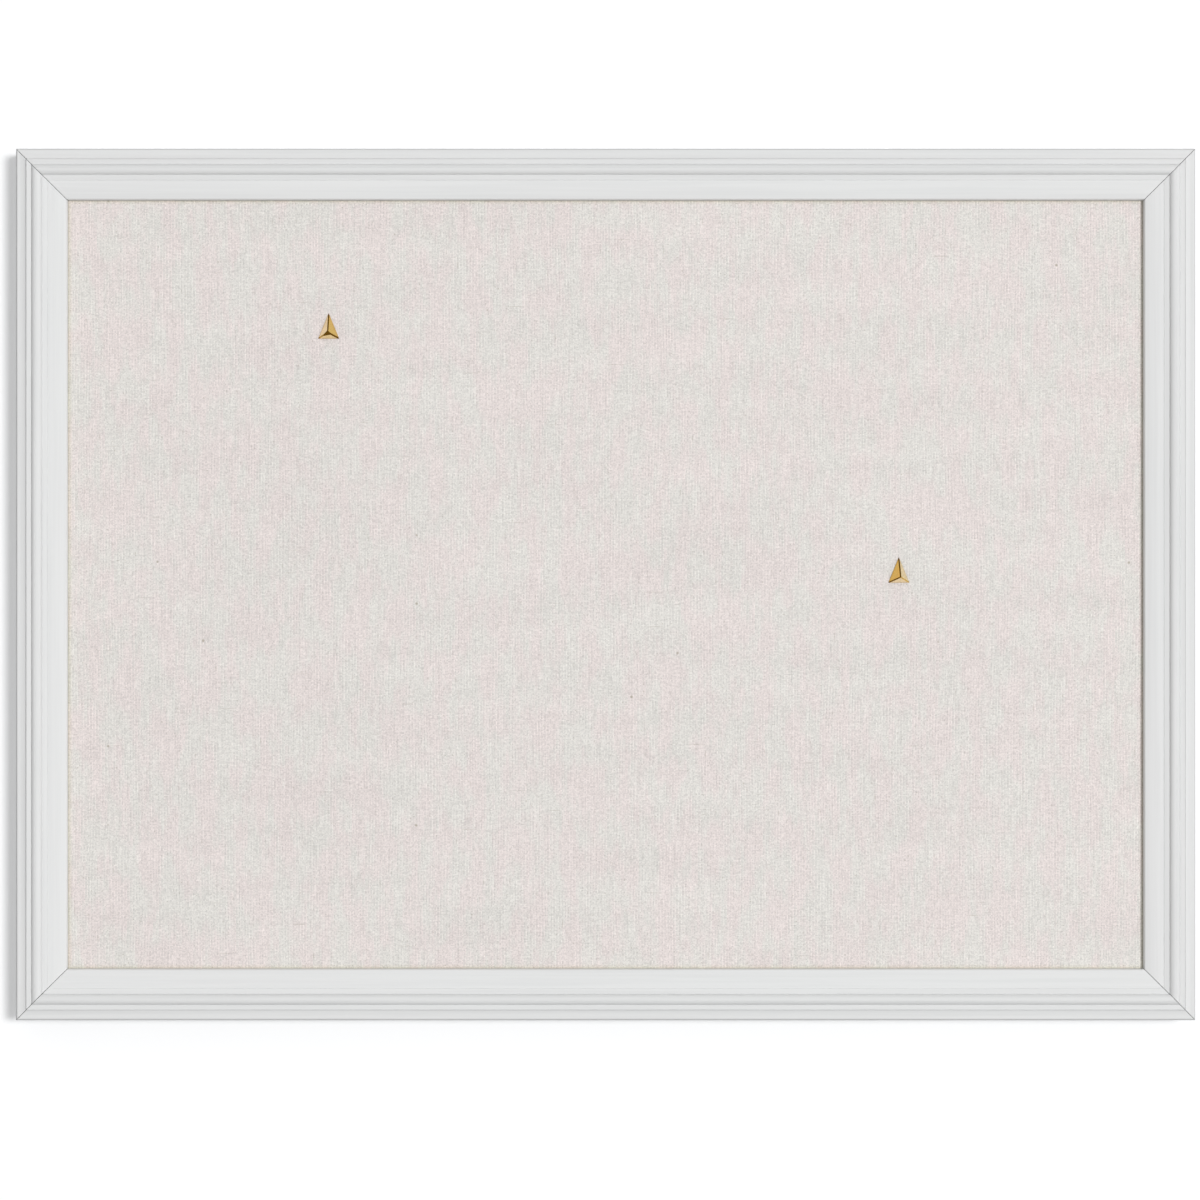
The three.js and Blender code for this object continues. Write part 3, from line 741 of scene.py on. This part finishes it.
def linen_material(flat):
    cloth, tree = new_material("natural_linen", Specular_IOR_Level=0.2,
                               Sheen_Weight=0.12, Sheen_Roughness=0.5)
    uv = add(tree, "UVMap", uv_map="UVMap")["UV"]
    place = add(tree, "VectorMath", {0: uv, 1: (*flat, 1)}, operation="MULTIPLY")[0]
    split = add(tree, "SeparateXYZ", {0: place})
    drift = noise(tree, place, 70, (0.3, 0.15, 1), detail=1)
    across = maths(tree, "MULTIPLY_ADD", drift, THREAD_WAVER, split[0])
    warp = maths(tree, "DIVIDE", across, WARP_PITCH)
    weft = maths(tree, "DIVIDE", split[1], WEFT_PITCH)
    warp_number, weft_number = (maths(tree, "FLOOR", thread) for thread in (warp, weft))
    warp_round, weft_round = (
        maths(tree, "SINE", maths(tree, "MULTIPLY", maths(tree, "FRACT", thread), pi))
        for thread in (warp, weft))
    over = maths(tree, "FLOORED_MODULO", maths(tree, "ADD", warp_number, weft_number), 2.0)
    warp_hump = maths(tree, "MULTIPLY", warp_round, maths(tree, "POWER", weft_round, 0.4))
    weft_hump = maths(tree, "MULTIPLY", weft_round, maths(tree, "POWER", warp_round, 0.4))
    hump = add(tree, "Mix", {0: over, 2: warp_hump, 3: weft_hump})[0]
    crossing = add(tree, "CombineXYZ", {0: warp_number, 1: weft_number})[0]
    each = add(tree, "TexWhiteNoise", {"Vector": crossing}, noise_dimensions="2D")[0]
    lengthwise, crosswise = (noise(tree, place, 4200, stretch, detail=1)
                             for stretch in ((1, 0.1, 1), (0.1, 1, 1)))
    fibres = add(tree, "Mix", {0: over, 2: lengthwise, 3: crosswise})[0]

    hairs = noise(tree, place, 1900, (1, 0.65, 1))
    parts = ((hairs, 0.49),
             (noise(tree, place, 1600, (1, 0.036, 1)), 0.29),  # streaks along the threads
             (noise(tree, place, 330, (1, 0.3, 1), detail=3), 0.08),  # tufts
             (noise(tree, place, 60, (0.16, 1, 1)), 0.11),  # broad bands across
             (noise(tree, place, 1150, (0.22, 1, 1)), 0.17),  # fine rows across
             (each, 0.18),
             (maths(tree, "FLOORED_MODULO", warp_number, 2.0), 0.05),  # every other thread
             # painted shade: the hollows between threads are darker
             (ramp(tree, hump, 0.0, 0.6), 0.10),  # the gaps between threads
             (fibres, 0.16))
    tone = 1 - 0.5 * sum(weight for part, weight in parts)
    for part, weight in parts:
        tone = maths(tree, "MULTIPLY_ADD", part, weight, tone)

    pair = maths(tree, "FLOOR", maths(tree, "DIVIDE", warp, 2.0))
    pair_middle = maths(tree, "MULTIPLY", pair, 2 * WARP_PITCH)
    pair_place = add(tree, "CombineXYZ", {0: pair_middle, 1: split[1]})[0]
    hue = noise(tree, pair_place, 105, (1, 0.34, 1), detail=3, roughness=0.55)
    colour = blend(tree, ramp(tree, hue, 0.38, 0.61), CLOTH_GREEN, CLOTH_PINK)
    shade = add(tree, "CombineColor", {entry: tone for entry in range(3)})[0]
    colour = blend(tree, 1.0, colour, shade, "MULTIPLY")

    specks = add(tree, "TexVoronoi", {"Vector": place, "Scale": 85.0, "Randomness": 1.0})
    chance = add(tree, "SeparateColor", {0: specks["Color"]})[0]
    flax = maths(tree, "MULTIPLY", ramp(tree, specks["Distance"], 0.035, 0.075, 0.7, 0.0),
                 maths(tree, "LESS_THAN", chance, 0.1))
    for scale, stretch, start, full, strength in FLAX_MARKS:
        marks = ramp(tree, noise(tree, place, scale, stretch, detail=1), start, full, 0.0, strength)
        flax = maths(tree, "MAXIMUM", flax, marks)
    colour = blend(tree, flax, colour, FLAX)
    # painted shade on the cloth beside the frame, in two widths
    inside_sight = edge_distance(tree, SIGHT_HALF)
    for reach, shade in PAINTED_EDGE_SHADES:
        beside = ramp(tree, inside_sight, -0.2 * MM, reach, 1.0, 0.0)
        colour = blend(tree, beside, colour, shade, "MULTIPLY")
    relief = hump
    for part, weight in ((hairs, 0.4), (fibres, 0.5), (flax, 0.5)):
        relief = maths(tree, "MULTIPLY_ADD", part, weight, relief)
    finish(tree, colour, 0.9, relief, 0.12 * MM, 0.65)
    return cloth


# %% [markdown]
# ## Linen: the cover
# A real cover is cut flat, laid over the panel, pulled tight and turned round its edges to the
# back. The same steps are made here, and the flat size stays the size of the real cut: a grid
# as large as the flat cloth, folds scored across it, the corners cut away, the hems folded,
# then the edges. The seams that meet are joined, and the cloth gets its thickness inwards.

# %% Cut and fold the linen
low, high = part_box("linen_cover")
FRONT = (high.x - low.x, high.z - low.z)
EDGE_DEPTH = high.y - low.y
HEM = 24 * MM
CLOTH_THICKNESS = 0.6 * MM
FLAT = tuple(side + 2 * (EDGE_DEPTH + HEM) for side in FRONT)
CELL = 4 * MM
SEAM = 0.05 * MM  # points nearer to each other than this are joined
FOLD_ROUNDING = 1.1 * MM
NEEDLE_HOLE = 0.62 * MM  # its radius

linen = new_primitive("linen_cloth", bpy.ops.mesh.primitive_grid_add, size=1,
                      x_subdivisions=round(FLAT[0] / CELL), y_subdivisions=round(FLAT[1] / CELL),
                      calc_uvs=True, rotation=TO_VIEWER, location=(0, low.y, 0))
linen.scale = (FLAT[0], FLAT[1], 1)
settle(linen)
print("flat cloth:", [round(side, 4) for side in FLAT],
      "outward:", linen.data.polygons[0].normal.y < 0)

SIDES = ((Vector((1, 0, 0)), FRONT[0] / 2), (Vector((-1, 0, 0)), FRONT[0] / 2),
         (Vector((0, 0, 1)), FRONT[1] / 2), (Vector((0, 0, -1)), FRONT[1] / 2))
for way, half in SIDES:
    for fold in (half, half + EDGE_DEPTH):
        pick(linen, "verts")
        bpy.ops.mesh.bisect(plane_co=way * fold, plane_no=way)
pick(linen, "faces", lambda f: abs(f.calc_center_median().x) > FRONT[0] / 2
     and abs(f.calc_center_median().z) > FRONT[1] / 2)
bpy.ops.mesh.delete(type="FACE")
for way, half in SIDES:
    along = Vector((way.z, 0, way.x))
    other = FRONT[1] / 2 if way.x else FRONT[0] / 2
    for end in (-1, 1):
        corner = way * (half + EDGE_DEPTH) + along * end * other
        slant = (way + along * end).normalized()
        pick(linen, "faces", lambda f: f.calc_center_median().dot(way) > half + EDGE_DEPTH)
        bpy.ops.mesh.bisect(plane_co=corner, plane_no=slant, clear_outer=True)
leave_edit()

# %% Fold the hems, then the edges
def fold_back(piece, way, line):
    """Turns what lies beyond a fold line by 90 degrees, towards the back. Gives back how far the
    cloth now reaches behind its front."""
    pick(piece, "verts", lambda v: v.co.dot(way) > line + TINY)
    hinge = way * line + Vector((0, low.y, 0))
    axis, sense = ("Z", -way.x) if way.x else ("X", way.z)
    bpy.ops.transform.rotate(value=radians(90) * sense, orient_axis=axis, center_override=hinge)
    leave_edit()
    return round(max(v.co.y for v in piece.data.vertices) - low.y, 4)


for way, half in SIDES:
    hem = fold_back(linen, way, half + EDGE_DEPTH)
    edge = fold_back(linen, way, half)
    print("folded", tuple(way), "hem", hem, "edge", edge)
pick(linen, "verts", lambda v: v.co.y > low.y + TINY)
bpy.ops.mesh.remove_doubles(threshold=SEAM)
leave_edit()
modify(linen, "BEVEL", width=FOLD_ROUNDING, segments=4,
       limit_method="ANGLE", angle_limit=radians(60))
modify(linen, "SOLIDIFY", thickness=CLOTH_THICKNESS, offset=-1)

# %% [markdown]
# Each needle has parted the threads, so the cloth has a small hole under each pin. A boolean
# with a thin rod cuts it.

# %% Needle holes
PINS = ("pin_left", "pin_right")


def needle_axis(pin):
    """The needle's middle line, its front end in the head and its tip."""
    lowest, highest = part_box(f"{pin}_needle")
    return Vector(((lowest.x + highest.x) / 2, 0, (lowest.z + highest.z) / 2)), lowest.y, highest.y


for pin in PINS:
    rod = new_cylinder("rod", 16, NEEDLE_HOLE, needle_axis(pin)[0], low.y - 2 * MM, low.y + 2 * MM)
    modify(linen, "BOOLEAN", operation="DIFFERENCE", object=rod, solver="EXACT")
    bpy.data.objects.remove(rod)
smooth_below(linen, 35)
linen.data.materials.clear()
place_on(linen, "board", "linen", "linen_cover", linen_material(FLAT))

# %% [markdown]
# ## Push pins
# Each pin's head is a small three-sided pyramid of polished gold-coloured metal, taller than
# it is wide. A cone with three sides is the start: its corners are pulled to the real
# triangle, the point is moved over the needle, and a thin rim is extruded below. The ridges
# are bevelled, because worn and polished ridges are what catches the dark of the room.

# %% Gold and steel
GOLD_RED = (0.87, 0.43, 0.045)
GOLD_DEEP = (0.90, 0.635, 0.21)
GOLD_PALE = (1.0, 0.82, 0.51)
GOLD_STEPS = ((0.26, 0.46, GOLD_DEEP), (0.44, 0.62, GOLD_PALE), (0.68, 0.84, GOLD_DEEP))
BASE_PAINTED_SHADE = (0.82, 0.78, 0.70)  # painted shade near the base of the head
BASE_SHADE_FADE = 1.3 * MM
HEAD_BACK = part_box("pin_left_head")[1].y
STEEL_DULL = 0.82  # the colour of its dullest spots, as a share of the brightest


def gold_material():
    """Gold plate: red where it faces the eye, then deeper and paler as it slants away, partly as
    gold's own edge tint and partly as a painted reflection. Near the base it carries painted shade.
    """
    gold, tree = new_material("polished_gold", Metallic=1.0)
    place = object_place(tree)
    spots = use_group(tree, mottle_group, place, Size=2.5 * MM, Chips=0.0)["Patches"]
    # the colour changes with the slant to the eye: partly gold's own edge tint, partly a painted
    # reflection
    slant = add(tree, "LayerWeight", {"Blend": 0.5})["Facing"]
    slant = maths(tree, "MULTIPLY_ADD", spots, 0.12, slant)
    colour = GOLD_RED
    for start, end, next_colour in GOLD_STEPS:
        colour = blend(tree, ramp(tree, slant, start, end), colour, next_colour)
    # painted shade near the base of the head
    depth = add(tree, "SeparateXYZ", {0: place})[1]
    near_base = ramp(tree, depth, HEAD_BACK - BASE_SHADE_FADE, HEAD_BACK)
    colour = blend(tree, near_base, colour, BASE_PAINTED_SHADE, "MULTIPLY")
    finish(tree, colour, ramp(tree, spots, 0.3, 0.75, 0.13, 0.24), spots, 0.12 * MM, 0.5)
    return gold


def steel_material(name, colour, rough, size):
    """Steel with a spangle of this size, and with the fine scratches of its polish."""
    steel, tree = new_material(name, Metallic=1.0)
    place = object_place(tree)
    spangle = use_group(tree, mottle_group, place, Size=size, Chips=0.3)["Chips"]
    scratches = use_group(tree, lines_group, place, Fineness=2.0)
    tone = maths(tree, "MULTIPLY_ADD", spangle, 0.5,
                 maths(tree, "MULTIPLY", scratches["Fine"], 0.5))
    dull = tuple(channel * STEEL_DULL for channel in colour)
    finish(tree, blend(tree, ramp(tree, tone, 0.2, 0.8), dull, colour),
           ramp(tree, tone, 0.2, 0.8, rough + 0.08, rough - 0.06),
           scratches["Height"], 0.01 * MM, 0.5)
    return steel


gold = gold_material()
zinc = steel_material("zinc_plated_steel", (0.66, 0.67, 0.68), 0.34, 1.6 * MM)
bright_steel = steel_material("needle_steel", (0.74, 0.74, 0.75), 0.2, 1.0 * MM)

# %% Pin heads
PIN_BASE = 10.4 * MM
PIN_TALL = 12.6 * MM
PIN_PEAK = 5.8 * MM
PIN_RISE = 2.7 * MM  # from the base's lower edge up to the needle and the peak
PIN_RIM = 0.35 * MM
# The two heads differ a little: how wide the upper, the lower left and the lower right ridge are
# (in millimetres), how far the peak stands to the right, and how deep and which way it is worn.
RIDGES = {"pin_left": (0.53, 0.5, 0.62), "pin_right": (0.57, 0.48, 0.5)}
PEAK_LEAN = {"pin_left": -0.15 * MM, "pin_right": 0.5 * MM}
WORN_TIPS = {"pin_left": (1.5 * MM, (-0.2, -1, -0.8)), "pin_right": (0.55 * MM, (0.05, -1, -0.1))}


def make_pin_head(pin):
    middle = needle_axis(pin)[0]
    peak = Vector((middle.x + PEAK_LEAN[pin], HEAD_BACK - PIN_PEAK, middle.z))
    rim_plane, foot = HEAD_BACK - PIN_RIM, middle.z - PIN_RISE
    corners = [Vector((middle.x + across, rim_plane, foot + up))
               for across, up in ((-PIN_BASE / 2, 0), (PIN_BASE / 2, 0), (0, PIN_TALL))]
    halfway = HEAD_BACK - PIN_PEAK / 2
    head = settle(new_primitive(f"{pin}_pyramid", bpy.ops.mesh.primitive_cone_add, vertices=3,
                                radius1=PIN_BASE / 2, radius2=0, depth=PIN_PEAK,
                                location=(middle.x, halfway, middle.z), rotation=TO_VIEWER))
    for vertex in sorted(head.data.vertices, key=lambda v: v.co.y):
        if vertex.co.y < halfway:
            vertex.co = peak
        else:
            nearest = min(corners, key=lambda c: (c - vertex.co).length)
            corners.remove(nearest)
            vertex.co = nearest
    pick(head, "faces", lambda f: f.normal.y > 0.9)
    extrude((0, PIN_RIM, 0))
    bpy.ops.mesh.select_all(action="SELECT")
    bpy.ops.mesh.normals_make_consistent(inside=False)
    leave_edit()
    wear = head.data.attributes.new("bevel_weight_edge", "FLOAT", "EDGE")
    for edge in head.data.edges:
        ends = [head.data.vertices[i].co for i in edge.vertices]
        if min((end - peak).length for end in ends) < TINY:
            foot_end = max(ends, key=lambda end: (end - peak).length)
            ridge = 0 if foot_end.z > middle.z else 1 if foot_end.x < middle.x else 2
            wear.data[edge.index].value = RIDGES[pin][ridge]
    modify(head, "BEVEL", width=MM, segments=1, limit_method="WEIGHT")
    worn, facing = WORN_TIPS[pin]
    pick(head, "verts")
    bpy.ops.mesh.bisect(plane_co=peak + Vector((0, worn, 0)), plane_no=Vector(facing).normalized(),
                        use_fill=True, clear_outer=True)
    leave_edit()
    soften(head, 0.06 * MM, angle=22)
    place_on(head, pin, "gold", f"{pin}_head", gold)


for pin in PINS:
    make_pin_head(pin)

# %% [markdown]
# The needle is a thin steel rod with a ground point. It is hidden while the pin is in the
# board, and shows when the pin is pulled.

# %% Needles
NEEDLE_STEPS = ((0.5 * MM, 0.86), (0.9 * MM, 0.5), (0.7 * MM, 0.2))
NEEDLE_END = 0.1 * MM


def radius_of(node):
    """Half the width of a CAD node."""
    lowest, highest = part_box(node)
    return (highest.x - lowest.x) / 2


def draw_out(steps, end):
    """Pulls the picked face out along Y and ends it in a point. Each step is a length, and the
    share of the face's width that is left after it."""
    for length, share in steps:
        extrude((0, length, 0))
        bpy.ops.transform.resize(value=(share, 1, share))
    extrude((0, end, 0))
    bpy.ops.mesh.merge(type="CENTER")
    leave_edit()


def make_needle(pin):
    middle, front, tip = needle_axis(pin)
    point = sum(length for length, share in NEEDLE_STEPS) + NEEDLE_END
    needle = new_cylinder(f"{pin}_steel_point", 28, radius_of(f"{pin}_needle"),
                          middle, front, tip - point)
    pick(needle, "faces", lambda f: f.normal.y > 0.9)
    draw_out(NEEDLE_STEPS, NEEDLE_END)
    smooth_below(needle, 40)
    place_on(needle, pin, "needle_steel", f"{pin}_needle", bright_steel)


for pin in PINS:
    make_needle(pin)

# %% [markdown]
# ## The panel
# Behind the cloth lie a cork sheet, a soft fibreboard core and a hardboard back. Only the
# hardboard shows, from behind. The CAD shapes are right, so each is copied, its loose
# triangles are merged into faces, and its edges are rounded a little.

# %% Cork, fibreboard and hardboard
BOARD_BOUNCE = 0.2
# Each board's lighter and darker colour, the size of its chips or granules and how much they
# stand out, the depth of its relief, and its roughness.
BOARDS = {
    "cork_granules": ((0.60, 0.42, 0.25), (0.30, 0.18, 0.09), 2.4 * MM, 0.8, 0.3 * MM, 0.85),
    "soft_fibreboard": ((0.50, 0.40, 0.28), (0.34, 0.26, 0.17), 1.2 * MM, 0.4, 0.15 * MM, 0.9),
    "hardboard_back": ((0.34, 0.215, 0.125), (0.20, 0.115, 0.06), 0.9 * MM, 0.5, 0.12 * MM, 0.7),
}


def board_material(name):
    light, dark, size, chips, relief, rough = BOARDS[name]
    board, tree = new_material(name, Specular_IOR_Level=0.25)
    place = object_place(tree)
    spots = use_group(tree, mottle_group, place, Size=size, Chips=chips)
    small = use_group(tree, mottle_group, place, Size=size / 4, Chips=chips)
    tone = maths(tree, "MULTIPLY_ADD", spots["Chips"], 0.45,
                 maths(tree, "MULTIPLY", small["Patches"], 0.6))
    colour = blend(tree, ramp(tree, tone, 0.15, 0.85), dark, light)
    height = maths(tree, "MULTIPLY_ADD", small["Height"], 0.5, spots["Height"])
    finish(tree, grey_bounce(tree, colour, BOARD_BOUNCE),
           ramp(tree, small["Patches"], 0.2, 0.8, rough - 0.08, rough + 0.08), height, relief, 0.6)
    return board


def dressed_copy(name, node, rounding, material, slot):
    """A copy of a CAD node with clean faces, rounded edges and a finish."""
    piece = own_copy(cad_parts[node], name)
    piece.data.materials.clear()
    close_mesh(piece)
    pick(piece, "faces")
    bpy.ops.mesh.dissolve_limited(angle_limit=radians(1))
    leave_edit()
    soften(piece, rounding)
    place_on(piece, "board", slot, node, material)


for name, node, rounding, finished, slot in (
        ("cork_layer", "cork_sheet", 0.3 * MM, "cork_granules", "cork"),
        ("fibreboard_panel", "fibreboard_core", 0.3 * MM, "soft_fibreboard", "fibreboard"),
        ("hardboard_panel", "backing_panel", 0.25 * MM, "hardboard_back", "hardboard")):
    dressed_copy(name, node, rounding, board_material(finished), slot)

# %% [markdown]
# ## Framer's hardware
# Flat points hold the panel in the rabbet, V-shaped nails close each mitre, and two sawtooth
# hangers are nailed to the top rail. All are stamped from zinc-plated steel. The nails are
# modelled once: a disc with a rounded rim, and a shank pulled out of its middle.

# %% Points, V-nails and hangers
def stamped(name, node, rounding):
    """A piece of stamped steel."""
    dressed_copy(name, node, rounding, zinc, "zinc_steel")


for side, count in (("top", 4), ("right", 3), ("bottom", 4), ("left", 3)):
    for number in range(1, count + 1):
        stamped(f"framers_point_{side}_{number}", f"point_{side}_{number}", 0.08 * MM)
for end in ("top", "bottom"):
    for side in ("left", "right"):
        for number in (1, 2):
            place = f"{end}_{side}_{number}"
            stamped(f"mitre_nail_{place}", f"v_nail_{place}", 0.06 * MM)
for side in ("left", "right"):
    stamped(f"sawtooth_hanger_{side}", f"hanger_{side}", 0.12 * MM)

# %% Hanger nails
NAIL_HEAD = 0.5 * MM  # its thickness
NAIL_RIM = 0.3 * MM  # the rounding of the head
NAIL_SHANK = 0.7 * MM  # its radius
NAIL_TAPER, NAIL_END = 1.2 * MM, 0.2 * MM
NAIL_BLUNT = 0.25  # the share of the shank's width that is left after the taper


def make_nail(name, node):
    lowest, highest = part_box(node)
    radius = radius_of(node)
    nail = new_cylinder(name, 36, radius, (lowest + highest) / 2, highest.y - NAIL_HEAD, highest.y)
    pick(nail, "edges", lambda e: all(v.co.y > highest.y - TINY for v in e.verts))
    bpy.ops.mesh.bevel(offset=NAIL_RIM, segments=4, affect="EDGES")
    pick(nail, "faces", lambda f: f.normal.y < -0.9)
    bpy.ops.mesh.inset(thickness=radius - NAIL_SHANK)
    straight = highest.y - NAIL_HEAD - lowest.y - NAIL_TAPER - NAIL_END
    draw_out(((-straight, 1), (-NAIL_TAPER, NAIL_BLUNT)), -NAIL_END)
    smooth_below(nail, 40)
    place_on(nail, "board", "zinc_steel", node, zinc)


for side in ("left", "right"):
    for number in (1, 2):
        make_nail(f"hanger_nail_{side}_{number}", f"hanger_{side}_nail_{number}")

# %% [markdown]
# ## Wall bumpers
# Four soft rubber discs keep the frame off the wall. Each starts as a cylinder. The rim that
# meets the wall is bevelled round, and the middle is inset and pushed in a little, as on a
# moulded bumper.

# %% Rubber bumpers
BUMPER_ROUNDING = 1.1 * MM
# The steps inwards and down of the hollow in its face.
BUMPER_DISH = ((1.0 * MM, 0), (0.5 * MM, 0.12 * MM), (0.5 * MM, 0.13 * MM))


def rubber_material():
    rubber, tree = new_material("black_rubber", Specular_IOR_Level=0.35)
    spots = use_group(tree, mottle_group, object_place(tree), Size=0.8 * MM, Chips=0.2)
    colour = blend(tree, spots["Patches"], (0.022, 0.022, 0.023), (0.045, 0.044, 0.043))
    finish(tree, colour, ramp(tree, spots["Patches"], 0.25, 0.75, 0.5, 0.72),
           spots["Height"], 0.03 * MM, 0.5)
    return rubber


rubber = rubber_material()
for corner in ("top_left", "top_right", "bottom_left", "bottom_right"):
    node = f"bumper_{corner}"
    lowest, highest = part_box(node)
    disc = new_cylinder(f"rubber_{node}", 64, radius_of(node),
                        (lowest + highest) / 2, lowest.y, highest.y)
    pick(disc, "edges", lambda e: all(v.co.y > highest.y - TINY for v in e.verts))
    bpy.ops.mesh.bevel(offset=BUMPER_ROUNDING, segments=6, affect="EDGES")
    pick(disc, "faces", lambda f: f.normal.y > 0.999)
    for inwards, down in BUMPER_DISH:
        bpy.ops.mesh.inset(thickness=inwards)
        bpy.ops.transform.translate(value=(0, -down, 0))
    leave_edit()
    smooth_below(disc, 50)
    place_on(disc, "board", "rubber", node, rubber)

# %% [markdown]
# ## Print the sizes and finish
# The dressed model has to fill the imported model's box, so both boxes are printed.

# %% Finish
for name, size in (("cad", CAD_BOX), ("now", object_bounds())):
    print(name, [[round(value, 5) for value in corner] for corner in size])
